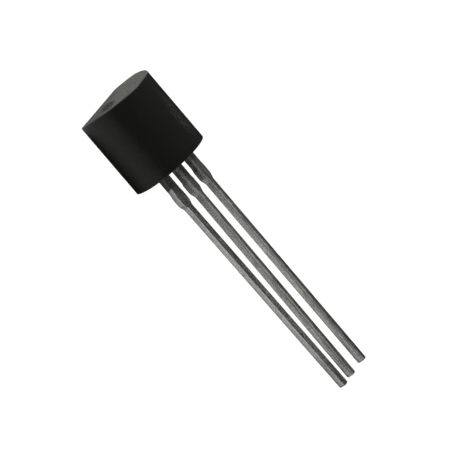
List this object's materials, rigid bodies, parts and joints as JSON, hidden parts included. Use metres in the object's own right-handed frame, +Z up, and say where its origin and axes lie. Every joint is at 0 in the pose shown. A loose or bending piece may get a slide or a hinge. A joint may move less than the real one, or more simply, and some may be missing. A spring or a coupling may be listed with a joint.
{
  "type": "npn transistor",
  "caption": "Small black transistor with a D-shaped moulded body and flat tinned leads in line, lying on the edge of its flat side and its lead tips.",
  "frame": {"origin": "on the surface it lies on, under the middle of its overall size", "axes": "+X along the leads from the body towards the lead tips, +Y along the row of leads from the collector to the emitter, +Z up through the round side of the body"},
  "size_m": [0.019, 0.0046, 0.0039],
  "materials": {
    "moulding": "matte",
    "tinned_lead": "satin",
    "silicon": "polished",
    "solder": "satin",
    "bond_gold": "gloss"
  },
  "bodies": {
    "root": {"case": "moulding", "collector_lead": "tinned_lead", "base_lead": "tinned_lead", "emitter_lead": "tinned_lead", "chip": "silicon", "die_attach": "solder", "emitter_wire": "bond_gold", "base_wire": "bond_gold"}
  },
  "joints": []
}
